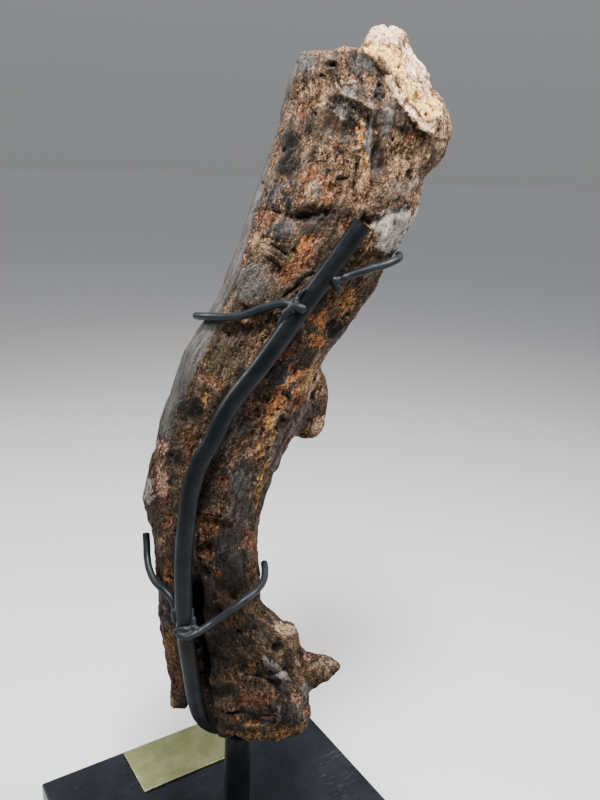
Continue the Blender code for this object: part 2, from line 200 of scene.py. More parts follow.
def make_camera():
    right, up, forward = (DISPLAY.to_3x3() @ Vector(axis) for axis in camera_axes())
    turn = Matrix((right, up, -forward)).transposed()
    data = bpy.data.cameras.new("camera")
    data.lens = FOCAL_PIXELS / max(IMAGE_WIDTH, IMAGE_HEIGHT) * SENSOR
    data.sensor_width = SENSOR
    data.clip_start = 0.01
    camera = new_object("camera", data)
    camera.matrix_world = Matrix.Translation(DISPLAY @ Vector(CAMERA_PLACE)) @ turn.to_4x4()
    bpy.context.scene.camera = camera


# ---------------- material graphs


class Graph:
    """The nodes of a material or of the world, built with short calls. A value is a number, a colour or
    a socket."""

    def __init__(self, name, kind="materials", shader="Principled BSDF"):
        self.owner = getattr(bpy.data, kind).new(name)
        self.owner.use_nodes = True
        self.tree = self.owner.node_tree
        self.shader = self.tree.nodes[shader]
        self.place = self.scaled(self.node("TexCoord", {}, "Object"), 1 / MM)

    def link(self, value, socket):
        if isinstance(value, bpy.types.NodeSocket):
            self.tree.links.new(value, socket)
        elif isinstance(value, tuple) and len(socket.default_value) == 4:
            socket.default_value = (*value, 1.0)
        else:
            socket.default_value = value

    def node(self, kind, values, output, **settings):
        """One output of a new node that has these settings and input values."""
        node = self.tree.nodes.new("ShaderNode" + kind)
        for name, setting in settings.items():
            setattr(node, name, setting)
        for socket, value in values.items():
            self.link(value, node.inputs[socket])
        return node.outputs[output]

    def vector_math(self, operation, first, second):
        return self.node("VectorMath", {0: first, 1: second}, "Vector", operation=operation)

    def scaled(self, vector, scale):
        return self.node("VectorMath", {0: vector, "Scale": scale}, "Vector", operation="SCALE")

    def math(self, operation, first, second=0.0):
        return self.node("Math", {0: first, 1: second}, 0, operation=operation)

    def times(self, first, second):
        return self.math("MULTIPLY", first, second)

    def total(self, first, *others):
        for value in others:
            first = self.math("ADD", first, value)
        return first

    def about(self, value, weight):
        """A value from 0 to 1 turned into a swing of that weight around 0."""
        return self.times(self.math("SUBTRACT", value, 0.5), weight)

    def stretched(self, stretch):
        """The place, squeezed along each axis so that marks come out that many times longer."""
        return self.vector_math("MULTIPLY", self.place, tuple(1 / part for part in stretch))

    def noise(self, wave, detail=4.0, roughness=0.6, distortion=0.0, vector=None, output="Fac"):
        """Noise whose waves are that many millimetres long, 0 to 1."""
        values = {"Vector": vector or self.place, "Scale": 1 / wave, "Detail": detail}
        values |= {"Roughness": roughness, "Distortion": distortion}
        return self.node("TexNoise", values, output)

    def cell_edges(self, size, vector):
        """The distance to the nearest edge between cells of that size, in cells."""
        values = {"Vector": vector, "Scale": 1 / size}
        return self.node("TexVoronoi", values, "Distance", feature="DISTANCE_TO_EDGE")

    def attribute(self, name):
        return self.node("Attribute", {}, "Fac", attribute_name=name)

    def step(self, value, low, high, out_low=0.0, out_high=1.0):
        """Maps a value smoothly from low..high to out_low..out_high."""
        values = {"Value": value, "From Min": low, "From Max": high, "To Min": out_low, "To Max": out_high}
        return self.node("MapRange", values, "Result", interpolation_type="SMOOTHSTEP")

    def ramp(self, value, stops):
        """A colour for each value: stops are (position, colour)."""
        node = self.tree.nodes.new("ShaderNodeValToRGB")
        elements = node.color_ramp.elements
        while len(elements) < len(stops):
            elements.new(1.0)
        for element, (position, colour) in zip(elements, stops):
            element.position = position
            element.color = (*colour, 1.0)
        self.link(value, node.inputs["Fac"])
        return node.outputs["Color"]

    def mix(self, factor, first, second):
        return self.node("Mix", {"Factor": factor, 6: first, 7: second}, 2, data_type="RGBA")

    def bump(self, height, distance, strength=1.0):
        """Raises the surface by up to distance, in millimetres, where height is 1."""
        values = {"Strength": strength, "Distance": distance * MM, "Height": height}
        return self.node("Bump", values, "Normal")

    def finish(self, colour, roughness, normal=None, metallic=0.0):
        values = {"Base Color": colour, "Roughness": roughness, "Metallic": metallic}
        if normal:
            values["Normal"] = normal
        for socket, value in values.items():
            self.link(value, self.shader.inputs[socket])
        return self.owner


# ---------------- the fossil: marks read off the photograph

# Colour patches of each kind: centre x and y, half width and half height, strength, and a turn in degrees
PATCHES = {
    "cream": [
        (380, 33, 22, 10, 0.9), (414, 62, 9, 18, 0.9, -35), (391, 83, 3, 9, 1, -28),
        (399, 99, 3.5, 10, 1, -25), (411, 116, 4, 12, 1, -42), (427, 125, 10, 6, 1, 12),
        # The cream patch at 319, 424 is painted light, brightening the trochanter where the lamps reach it
        # little
        (420, 104, 6, 8, 0.6), (314, 388, 5, 18, 0.4, 5), (319, 424, 8, 11, 0.5), (286, 628, 12, 7, 1, 10),
        (299, 662, 5, 12, 0.4, -35), (322, 666, 13, 8, 0.55, 8), (172, 704, 5, 5, 0.7),
    ],
    "pink": [
        (388, 36, 14, 7, 0.8), (408, 72, 6, 14, 0.6, -30), (422, 92, 10, 10, 0.8), (338, 87, 6, 6, 0.8),
        (356, 77, 8, 5, 0.7), (159, 443, 6, 10, 1, 10), (160, 482, 8, 14, 0.8), (247, 453, 6, 4, 0.9),
        (308, 654, 6, 3, 0.6, 15), (298, 701, 8, 9, 0.9),
    ],
    "straw": [
        (378, 50, 16, 6, 0.9), (398, 64, 8, 14, 0.9, -30), (410, 92, 8, 16, 0.9, -25),
        (430, 108, 12, 12, 0.9),
    ],
    "tan": [
        (443, 120, 6, 18, 0.9), (441, 148, 6, 14, 0.8, 10), (326, 104, 6, 6, 1), (308, 88, 13, 8, 0.7),
        (322, 150, 18, 12, 0.4, 30), (308, 188, 8, 12, 0.8), (363, 195, 6, 26, 1, 5),
        (416, 160, 17, 18, 0.7, 10), (394, 155, 9, 24, 0.8, 4), (424, 195, 6, 18, 0.8, 20),
        (256, 240, 10, 10, 0.8), (316, 372, 8, 22, 0.9), (308, 398, 9, 16, 0.9, 10),
        (158, 545, 4, 16, 0.8, -10), (233, 438, 9, 3, 0.9), (316, 424, 11, 11, 1), (303, 430, 9, 6, 0.8),
        (260, 612, 8, 16, 0.6, -20), (297, 643, 8, 10, 0.9, -20), (292, 665, 9, 16, 1, -35),
        (318, 668, 16, 13, 1), (287, 648, 14, 20, 0.8, -30), (309, 715, 4, 12, 0.9),
    ],
    "grey": [
        (303, 61, 13, 10, 0.9), (366, 64, 14, 11, 0.9), (352, 91, 11, 5, 0.6), (347, 108, 15, 9, 0.6, 10),
        (320, 192, 5, 7, 0.9), (369, 140, 4, 26, 0.8, 2), (388, 120, 8, 18, 0.6), (252, 282, 15, 20, 1, 20),
        (169, 428, 7, 12, 0.8, 15), (236, 430, 12, 16, 0.7, 20), (240, 486, 13, 13, 0.9),
    ],
    "pale": [
        (346, 111, 14, 8, 0.55, 10), (402, 222, 23, 14, 0.85, -25), (390, 240, 15, 13, 1, -30),
        (384, 222, 14, 7, 0.9, -22), (147, 490, 4, 14, 0.9), (198.5, 656, 2.2, 15, 1, -4),
        (277, 671, 6, 21, 0.8, -50), (304, 690, 5, 9, 0.5, -20), (279, 714, 3, 12, 0.7, 15),
    ],
    "rust": [
        (300, 108, 5, 12, 0.5), (350, 130, 9, 5, 0.9, 30), (310, 172, 12, 9, 0.8), (327, 190, 9, 14, 0.9),
        (299, 198, 3, 12, 0.6, -20), (274, 192, 7, 6, 0.7), (413, 135, 8, 6, 0.6), (262, 215, 12, 8, 0.8),
        (300, 258, 12, 26, 1, 38), (345, 232, 10, 10, 0.8, 30), (288, 357, 9, 9, 0.7, 20),
        (300, 400, 10, 8, 0.8, -20), (214, 382, 12, 8, 0.7, 30), (187, 440, 9, 12, 0.5),
        (164, 490, 6, 14, 0.8), (165, 525, 5, 9, 0.75), (222, 481, 5, 4, 0.9), (282, 395, 10, 8, 0.7),
        (209, 525, 10, 8, 0.9), (209, 551, 8, 10, 0.8), (252, 545, 7, 40, 0.6), (236, 597, 15, 5, 0.65, -6),
        (228, 626, 8, 8, 0.65), (237, 660, 10, 4, 0.5), (258, 700, 22, 10, 0.9, -12),
        (176, 680, 6, 18, 0.8, -8),
    ],
    # Near-black patches are partly dark matter and holes, and partly painted shade: under the boss, along
    # the crack beside the spine bar, and in the shaded zone beside the bar low down
    "dark_and_shade": [
        (332, 64, 6, 5, 1), (321, 75, 5, 4, 0.9), (310, 128, 9, 6, 0.7), (288, 143, 13, 12, 0.9),
        (287, 166, 14, 12, 0.8), (327, 172, 6, 4, 0.8), (318, 218, 18, 5, 1, -6), (379, 92, 5, 12, 0.7),
        (404, 130, 9, 7, 0.8), (406, 190, 8, 20, 0.45, 28), (296, 284, 4, 17, 0.9, 52),
        (336, 330, 9, 9, 0.9, 30), (318, 300, 8, 10, 0.7, 30), (289, 397, 4, 4, 1), (190, 408, 14, 14, 0.9),
        (171, 455, 10, 7, 0.9), (158, 516, 9, 30, 0.4), (176, 560, 5, 20, 0.6), (284, 421, 7, 7, 0.8),
        (204, 500, 6, 16, 0.7), (234, 582, 20, 26, 0.55), (200, 590, 8, 40, 0.8), (278, 647, 9, 7, 0.9),
        (228, 655, 16, 14, 0.45), (213, 612, 12, 26, 0.6), (280, 687, 5, 16, 1, -48),
        (222, 690, 16, 8, 0.7), (250, 713, 20, 3, 0.8, 6),
    ],
    "brown": [(335, 125, 16, 12, 0.6), (230, 648, 20, 16, 1)],
    "slate": [
        (283, 194, 15, 14, 1), (380, 165, 6, 16, 0.4, 10), (281, 230, 10, 9, 0.9), (312, 228, 8, 6, 0.6),
        (278, 376, 11, 9, 1), (232, 462, 18, 16, 0.9), (228, 540, 14, 12, 0.7), (232, 564, 15, 20, 0.9),
    ],
    "gold": [
        (361, 130, 4, 20, 1, -4), (366, 168, 3.5, 34, 0.6, -3), (349, 302, 8, 12, 0.8, 35),
        (311, 380, 4, 14, 0.6, 12), (204, 404, 6, 12, 0.7, 10), (267, 438, 9, 34, 0.75, 12),
        (259, 492, 4, 28, 0.55, 6), (255, 665, 5, 6, 0.8), (254, 723, 19, 5, 0.8, 8),
        (245, 736, 26, 4, 0.9, 2), (290, 734, 20, 4, 0.9, -14), (170, 652, 6, 26, 1, -8),
    ],
    "orange": [
        (244, 263, 11, 5, 1, -8), (304, 240, 8, 12, 0.8, 40), (321, 320, 9, 8, 1), (315, 341, 10, 8, 0.9),
        (296, 377, 22, 5, 1, -32), (286, 398, 20, 5, 1, -30), (205, 358, 7, 4, 0.9), (168, 572, 5, 8, 1),
        (218, 574, 5, 4, 0.8),
    ],
    "moss": [(292, 247, 4, 20, 0.8, 22), (224, 361, 22, 18, 0.8, 30), (178, 485, 7, 18, 0.6)],
    "lilac": [
        (281, 442, 7, 20, 0.7, 22), (302, 418, 11, 20, 0.9, 35), (238, 512, 16, 14, 0.7),
        (295, 712, 10, 10, 0.8), (165, 618, 6, 14, 0.7),
    ],
}

# The inner edge of the smooth grey rind along the left margin, from the top down
RIND_EDGE = [(300, 62), (284, 100), (276, 130), (268, 160), (262, 190), (256, 210), (246, 240), (241, 262),
             (238, 280), (224, 300), (216, 330), (204, 352), (192, 380), (178, 405), (168, 430), (160, 445)]

# Dents and swellings that shape the outline: centre in space, radius, height
SWELLINGS = [
    (54, 4, 118, 6, -2.4), (53, 2, 109, 7, 0.8), (15, 14, 189, 10, -2), (76, 9, 149, 5, 0.7),
    (68, 9, 150, 6, 2.4), (67, 9, 138, 7, 3), (59, 9, 129, 7, 2.4), (-25.5, 14, 108, 10, 4.2),
    (-20, 17, 94, 8, 3.2),
]

# Broad forms: centre x and y, half width and half height, height, and a turn in degrees
FORMS = [
    (346, 113, 20, 13, -0.7, 12), (333, 148, 22, 14, 0.9, 20), (318, 190, 17, 20, 1.5),
    (321, 193, 5, 7, -1), (283, 195, 12, 11, 0.9), (284, 148, 14, 15, -0.8), (281, 230, 12, 12, 0.7),
    (378, 160, 6, 34, -1, 3), (400, 190, 8, 22, -1.2, 30), (424, 160, 9, 28, 0.8, 12),
    (304, 250, 13, 26, 1.1, 40), (270, 275, 16, 16, -0.8, 20), (346, 310, 9, 20, -1, 35),
    (280, 376, 12, 10, 0.8), (225, 365, 18, 18, -0.7, 30), (190, 405, 12, 16, -0.9),
    (232, 462, 16, 16, 0.6), (267, 450, 7, 40, 0.9, 10), (232, 560, 13, 22, 0.7), (230, 640, 16, 14, -0.8),
    (256, 690, 16, 8, 0.8, -20), (250, 722, 20, 8, 0.8, 4),
]

# The rim of the broken head, from the top down; the break is on its right
BREAK_EDGE = [(356, 51), (371, 57), (379, 67), (387, 78), (394, 92), (400, 104), (409, 117), (418, 128),
              (431, 136), (443, 139), (470, 142)]

# Ridges (height above 0) and cracks (below 0): line of pixels, half width in pixels, height
LINES = [
    ([(388, 66), (393, 79), (396, 92), (401, 104), (411, 116), (420, 126), (431, 132)], 2.4, 0.9),
    ([(341, 94), (351, 98), (362, 102), (369, 108), (368, 114)], 1.6, 1),
    ([(368, 116), (369, 127), (366, 149), (356, 164), (352, 190)], 1.4, -1.2),
    ([(375, 150), (374, 175), (368, 200), (364, 222)], 1.6, -0.9),
    ([(360, 122), (358, 150), (362, 180), (358, 215)], 3, 0.9),
    ([(303, 214), (313, 214), (322, 214), (332, 209)], 1.6, -0.7), ([(337, 179), (346, 178)], 1.4, -1.4),
    ([(372, 219), (394, 214), (413, 203), (420, 199)], 3.4, 0.5), ([(271, 244), (288, 256)], 1, -1),
    ([(268, 250), (286, 262)], 1, -0.9), ([(263, 256), (280, 268)], 0.9, -0.8),
    ([(262, 236), (276, 241), (290, 243)], 0.9, -0.8),
    ([(250, 214), (262, 208), (280, 212), (296, 220)], 1, -0.8),
    ([(314, 273), (303, 279), (296, 288), (283, 297)], 1.4, -1.5), ([(293, 341), (306, 348)], 0.8, 0.5),
    ([(274, 367), (288, 372)], 0.8, 0.5), ([(312, 366), (292, 380), (274, 389)], 3, 0.9),
    ([(305, 388), (286, 400), (268, 408)], 3, 0.8), ([(226, 268), (222, 290), (214, 312)], 0.9, -0.5),
    ([(198, 514), (208, 517), (220, 518)], 1.3, -1.2), ([(198, 526), (197, 545), (200, 566)], 1.8, -1.6),
    ([(198, 643), (198.5, 656), (201, 672)], 1.6, 1),
    ([(247, 676), (262, 676), (276, 684), (288, 694)], 2.4, -2.2),
    ([(263, 659), (279, 670), (291, 686)], 3.4, 1.5),
    ([(224, 716), (240, 713), (254, 716), (270, 717)], 1.2, -1.3),
    ([(281, 700), (279, 712), (276, 724)], 1.2, 0.5),
    ([(262, 640), (266, 650), (274, 655), (286, 654)], 1.6, 1.2),
    ([(225, 733), (243, 738), (272, 737), (298, 729)], 2.4, 0.8),
    ([(292, 437), (297, 428), (296, 408)], 1.6, -1),
]

# Holes: centre x and y, radius, depth
HOLES = [
    (332, 64, 3.6, 2.4), (321, 75, 2.4, 1.6), (296, 62, 2.4, 1.8), (315, 114, 1.8, 1.4),
    (394, 139, 2.2, 1.6), (384, 136, 2, 1.2), (262, 183, 1.6, 1.4), (379, 85, 2.4, 1.6),
    (376, 96, 1.8, 1.2), (289, 397, 2.6, 2), (284, 421, 2.8, 2), (278, 410, 2, 1.4), (171, 455, 2.6, 1.4),
    (278, 647, 5, 2.4), (344, 306, 2, 1.4), (400, 66, 2.6, 2), (426, 114, 2.4, 1.8), (234, 388, 2.2, 1.2),
    (222, 481, 1.6, 1), (320, 192, 3.6, 0.8), (327, 172, 2.6, 1), (200, 560, 2.4, 1.6),
    (345, 320, 1.8, 1.2), (406, 204, 1.8, 1), (240, 672, 2.2, 1.4), (222, 712, 2.4, 1.4),
    (268, 448, 2, 1.2), (263, 458, 2, 1.2),
]

BONE_VOXEL = 0.95
BONE_TRIANGLES = 195000
BAR_ROOM = 0.35

# The solid's facets are relaxed in this many rounds, each a shrink and a swell that keep the volume
FACET_ROUNDS = 20
FACET_SHRINK = 0.6
FACET_SWELL = 0.58
RELIEF_ROUNDS = 16

# How squarely the surface faces the photograph's camera, from and to, where each of these comes in; the
# hidden side has drifts of colour instead of the patches
MARKS_FACING, PATCHES_FACING, RIND_FACING = (0.0, 0.3), (-0.45, 0.05), (-0.9, -0.4)

# The break on the hidden side: heights, and the x past which the bone is broken
HIDDEN_RIM_HEIGHTS = (515, 526, 542, 553, 564)
HIDDEN_RIM = (112, 106, 88, 82, 76)
# Heights over which the broken head and the broken top begin
HEAD_BREAK = (510, 524)
TOP_BREAK = (566, 572)

# How far noise moves the patches' outlines, in pixels, and the waves of the hidden side's drifts
WOBBLE = 5.0
DRIFT_WAVES = (22, 22, 34)

# Spans that bring heights and places along the bone's flow into the range 0 to 1
RISE_SPAN = 600
FLOW_SPAN = 200

# Steps torn down through the skin: level of the flake value, depth
TORN_STEPS = ((0.5, 0.45), (0.72, 0.4), (0.92, 0.35), (0.28, 0.35), (0.1, 0.3))
# Crests, cracks and pits: size along each axis, height or depth, seed
CRESTS = (((8, 8, 15), 0.6, 45), ((4, 4, 6.5), 0.2, 46))
CRACKS = (((13, 13, 40), 0.8, 61), ((22, 22, 15), 0.7, 67))
PITS = ((6.5, 0.35, 1.3, 81), (3.4, 0.4, 0.8, 91))  # here also the share of cells that have one


def nearest_on_line(points, line):
    """For each point the nearest place on a line of points, and how far it is."""
    nearest = points.copy()
    least = np.full(len(points), np.inf)
    for start, end in zip(line[:-1], line[1:]):
        along = end - start
        part = np.clip((points - start) @ along / (along @ along), 0, 1)
        foot = start + part[:, None] * along
        away = np.linalg.norm(points - foot, axis=1)
        closer = away < least
        nearest[closer] = foot[closer]
        least = np.where(closer, away, least)
    return nearest, least


def distance(points, centre):
    return np.linalg.norm(points - np.array(centre, float), axis=1)


def right_of(line, pixels):
    """How far each pixel is to the right of a line that runs down the picture."""
    return pixels[:, 0] - np.interp(pixels[:, 1], *np.array(line, float).T[::-1])


def patch_mask(pixels, x, y, half_width, half_height, turn=0):
    """1 in the middle of an ellipse, 0.5 at its edge, falling to 0 outside."""
    angle = math.radians(turn)
    offset = pixels - np.array((x, y), float)
    across = (offset[:, 0] * math.cos(angle) + offset[:, 1] * math.sin(angle)) / half_width
    down = (offset[:, 1] * math.cos(angle) - offset[:, 0] * math.sin(angle)) / half_height
    return 1 - smoothstep(np.hypot(across, down), 0.45, 1.55)


# ---------------- the fossil: mesh


def new_object(name, data):
    obj = bpy.data.objects.new(name, data)
    bpy.context.scene.collection.objects.link(obj)
    return obj


def mesh_of(bm, name):
    """The mesh of a bmesh, which is then freed."""
    mesh = bpy.data.meshes.new(name)
    bm.to_mesh(mesh)
    bm.free()
    return mesh


def rows_of(items, name, width, kind=np.float32):
    """One property of all of a mesh's items, a row for each item."""
    values = np.empty(width * len(items), kind)
    items.foreach_get(name, values)
    return values.reshape(-1, width)


def points_of(mesh):
    return rows_of(mesh.vertices, "co", 3).astype(float)


def smooth_and_paint(mesh, finish):
    mesh.polygons.foreach_set("use_smooth", np.ones(len(mesh.polygons), bool))
    mesh.materials.clear()
    mesh.materials.append(finish)


def evaluated_mesh(obj):
    """The mesh that an object's modifiers make, the object itself being removed."""
    graph = bpy.context.evaluated_depsgraph_get()
    graph.update()
    mesh = bpy.data.meshes.new_from_object(obj.evaluated_get(graph))
    bpy.data.objects.remove(obj)
    return mesh


def new_skin(mesh, voxel, rounds=0):
    """One even skin around a mesh's solids, smoothed that many rounds, as where weld metal has run."""
    lump = new_object("skin", mesh)
    remesh = lump.modifiers.new("skin", "REMESH")
    remesh.mode = "VOXEL"
    remesh.voxel_size = voxel * MM
    if rounds:
        lump.modifiers.new("flow", "SMOOTH").iterations = rounds
    return evaluated_mesh(lump)


class Surface:
    """A mesh's points and normals as arrays in the display's frame, in millimetres."""

    def __init__(self, mesh):
        self.mesh = mesh
        self.count = len(mesh.vertices)
        self.ends = rows_of(mesh.edges, "vertices", 2, np.int32)
        self.degree = np.bincount(self.ends.ravel(), minlength=self.count)[:, None]
        turn = np.array(DISPLAY.inverted())
        self.points = (points_of(mesh) @ turn[:3, :3].T + turn[:3, 3]) / MM
        self.update()

    def update(self):
        """Writes the points to the mesh and reads its normals."""
        turn = np.array(DISPLAY)
        world = self.points * MM @ turn[:3, :3].T + turn[:3, 3]
        self.mesh.vertices.foreach_set("co", world.astype(np.float32).ravel())
        self.mesh.update()
        self.normals = rows_of(self.mesh.vertex_normals, "vector", 3).astype(float) @ turn[:3, :3]

    def averaged(self, values):
        """Each point's mean of its neighbours' values."""
        first, second = self.ends.T
        total = np.zeros_like(values)
        for axis in range(values.shape[1]):
            column = values[:, axis]
            total[:, axis] = np.bincount(first, column[second], self.count)
            total[:, axis] += np.bincount(second, column[first], self.count)
        return total / self.degree

    def relaxed(self, rounds, shrink=0.5, swell=0.0):
        """The points smoothed that many rounds; a swell near the shrink keeps the volume."""
        points = self.points
        for _ in range(rounds):
            points = points + shrink * (self.averaged(points) - points)
            if swell:
                points = points - swell * (self.averaged(points) - points)
        return points

    def push(self, height):
        """Moves each point out along its normal by a height."""
        self.points = self.points + self.normals * height[:, None]
        self.update()

    def attribute(self, name, values):
        layer = self.mesh.attributes.new(name, "FLOAT", "POINT")
        layer.data.foreach_set("value", np.clip(values, 0, 1).astype(np.float32))


def rind_mask(pixels, front):
    """1 on the smooth rind: left of its inner edge."""
    top, bottom = RIND_EDGE[0][1], RIND_EDGE[-1][1]
    ends = smoothstep(pixels[:, 1], top - 6, top + 10)
    ends = ends * (1 - smoothstep(pixels[:, 1], bottom - 30, bottom + 10))
    return (1 - smoothstep(right_of(RIND_EDGE, pixels), -3, 3)) * ends * smoothstep(front, *RIND_FACING)


def break_mask(points, pixels, seen):
    """1 on the pale broken head and the broken top: beside the rim's line in the photograph's view, and
    past the plane of the break elsewhere."""
    inside = smoothstep(right_of(BREAK_EDGE, pixels), -1.5, 1.5)
    rim = np.interp(points[:, 2], HIDDEN_RIM_HEIGHTS, HIDDEN_RIM)
    hidden = smoothstep(points[:, 0] - rim, -2, 3) * smoothstep(points[:, 2], *HEAD_BREAK)
    head = inside * seen + hidden * (1 - seen)
    top = smoothstep(points[:, 2], *TOP_BREAK)
    return np.maximum(head, top)


def bone_flow(points):
    """The points with the bone's bow taken out, so that marks stretched along z run along the bone."""
    levels = np.linspace(points[:, 2].min(), points[:, 2].max(), 13)
    centres = []
    for level in levels:
        near = np.abs(points[:, 2] - level) < 25
        centres.append((points[near, :2].min(axis=0) + points[near, :2].max(axis=0)) / 2)
    centres = np.array(centres)
    flow = points.copy()
    for axis in (0, 1):
        flow[:, axis] -= np.interp(points[:, 2], levels, centres[:, axis])
    return flow


def flaking(flow, masks, rind, broken):
    """Below 0.5 the old smooth skin, above 0.5 the rough matter under it, in shapes torn at every scale."""
    bent = flow + 3.5 * np.stack([fractal(flow, 11, 2, 0.5, seed) for seed in (5, 6, 7)], axis=1)
    flake = 0.47 + 0.62 * fractal(bent, (13, 13, 24), 5, 0.62, 21)
    for kind in SKIN_TONES:
        flake -= 0.50 * masks[kind]
    for kind in ROUGH_TONES:
        flake += 0.34 * masks[kind]
    flake -= 0.35 * masks["dark_and_shade"]
    return flake * (1 - rind) * (1 - broken) + broken


def relief_of(flow, flake, rind, broken):
    """How far the surface is raised at each point by nature's own marks."""
    bent = flow + 2.5 * np.stack([fractal(flow, 9, 2, 0.5, seed) for seed in (8, 9, 10)], axis=1)
    rough = smoothstep(flake, 0.44, 0.56)
    height = 1.1 * (1 - 0.8 * rind) * fractal(bent, (16, 16, 30), 3, 0.5, 11)
    for level, deep in TORN_STEPS:
        height -= deep * (1 - broken) * smoothstep(flake, level - 0.03, level + 0.03)
    for wave, tall, seed in CRESTS:
        crest = 0.22 - np.abs(fractal(bent, wave, 3, 0.5, seed))
        height += tall * (0.35 + 0.65 * rough) * (1 - 0.9 * rind) * crest
    height += (0.14 + 0.16 * rough) * (1 - 0.8 * rind) * fractal(flow, (2.6, 2.6, 20), 3, 0.6, 31)
    height += (0.06 + 0.12 * rough) * (1 - 0.9 * rind) * fractal(bent, 3.0, 3, 0.6, 41)

    # Grains and open cells of the broken bone
    away, following, _ = cells(bent, 2.6, 51)
    height += broken * (0.45 * smoothstep(following - away, 0.0, 0.4) - 0.3)
    height += 1.5 * broken * fractal(bent, 11, 3, 0.5, 55)

    # Cracks that run on through skin and rough matter
    for wave, deep, seed in CRACKS:
        ridged = np.abs(fractal(bent, wave, 4, 0.5, seed))
        strength = smoothstep(fractal(flow, 34, 2, 0.5, seed + 3), -0.05, 0.25)
        height -= deep * (1 - rind) * (1 - broken) * strength * (1 - smoothstep(ridged, 0.0, 0.03))

    # Pits in clusters
    cluster = smoothstep(fractal(flow, 28, 2, 0.5, 77), -0.12, 0.22)
    for size, share, deep, seed in PITS:
        away, _, chance = cells(bent, size, seed)
        pit = (1 - smoothstep(away, 0.08, 0.28)) * (chance < share)
        height -= deep * pit * cluster * (1 - 0.95 * rind)
    return height


def marks_of(pixels, seen):
    """The forms, ridges, cracks and holes that the photograph places."""
    height = np.zeros(len(pixels))
    for x, y, half_width, half_height, raised, *turn in FORMS:
        height += seen * raised * patch_mask(pixels, x, y, half_width, half_height, *turn)
    for line, width, raised in LINES:
        away = nearest_on_line(pixels, np.array(line, float))[1]
        height += seen * raised * np.exp(-((away / width) ** 2))
    for *centre, radius, depth in HOLES:
        away = distance(pixels, centre)
        height -= seen * depth * (1 - smoothstep(away, 0.4 * radius, 1.2 * radius))
    return height


def tone_masks(flow, pixels, front):
    """One mask to a tone: patches where the camera looks, and broad drifts on the hidden side."""
    around = smoothstep(front, *PATCHES_FACING)
    wobble = WOBBLE * np.stack([fractal(flow, 8, 3, 0.7, seed) for seed in (101, 111)], axis=1)
    masks = {}
    for number, kind in enumerate(TONES):
        mask = np.zeros(len(flow))
        for x, y, half_width, half_height, strength, *turn in PATCHES[kind]:
            patch = patch_mask(pixels + wobble, x, y, half_width, half_height, *turn)
            mask = np.maximum(mask, strength * patch)
        drift = smoothstep(fractal(flow, DRIFT_WAVES, 3, 0.5, 200 + 7 * number), 0.12, 0.5)
        masks[kind] = mask * around + DRIFT_SHARE[kind] * drift * (1 - around)
    return masks


def clear_of_bars(surface):
    """Presses the surface back where it would come nearer than a hair to a bar."""
    bars = [(SPINE_ROUTE, SPINE_RADIUS)] + [(route, ARM_RADIUS) for route in ARM_ROUTES.values()]
    for route, radius in bars:
        line = middle_line(route)
        room = radius + BAR_ROOM
        low, high = line.min(axis=0) - room, line.max(axis=0) + room
        near = np.flatnonzero(((surface.points > low) & (surface.points < high)).all(axis=1))
        points = surface.points[near]
        closest, least = nearest_on_line(points, line)
        moved = least < room
        offset = (points[moved] - closest[moved]) / least[moved, None]
        surface.points[near[moved]] = closest[moved] + offset * room
    surface.update()


def make_fossil():
    surface = Surface(new_skin(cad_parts["bone"].data.copy(), BONE_VOXEL))
    surface.points = surface.relaxed(FACET_ROUNDS, FACET_SHRINK, FACET_SWELL)
    surface.update()

    points = surface.points
    flow = bone_flow(points)
    front = facing_camera(points, surface.normals)
    pixels = pixels_of(points)
    seen = smoothstep(front, *MARKS_FACING)
    rind = rind_mask(pixels, front)
    broken = break_mask(points, pixels, seen)
    masks = tone_masks(flow, pixels, front)
    flake = flaking(flow, masks, rind, broken)
    surface.push(relief_of(flow, flake, rind, broken) + marks_of(pixels, seen))
    swell = np.zeros(surface.count)
    for *centre, radius, raised in SWELLINGS:
        away = distance(surface.points, centre)
        swell += raised * np.exp(-((away / radius) ** 2))
    surface.push(swell)
    clear_of_bars(surface)
    relief = np.einsum("ij,ij->i", surface.points - surface.relaxed(RELIEF_ROUNDS), surface.normals)

    masks |= {"flake": flake, "rind": rind, "relief": 0.5 + 0.5 * relief, "rise": points[:, 2] / RISE_SPAN}
    masks |= {"flow_x": flow[:, 0] / FLOW_SPAN + 0.5, "flow_y": flow[:, 1] / FLOW_SPAN + 0.5}
    for name, values in masks.items():
        surface.attribute(name, values)

    coarse = new_object("fossil", surface.mesh)
    thinner = coarse.modifiers.new("thinner", "DECIMATE")
    thinner.ratio = BONE_TRIANGLES / (2 * len(surface.mesh.polygons))
    mesh = evaluated_mesh(coarse)
    smooth_and_paint(mesh, fossil_material())
    fossil = new_object("fossil", mesh)
    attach(fossil, BODY)
    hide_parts("bone")
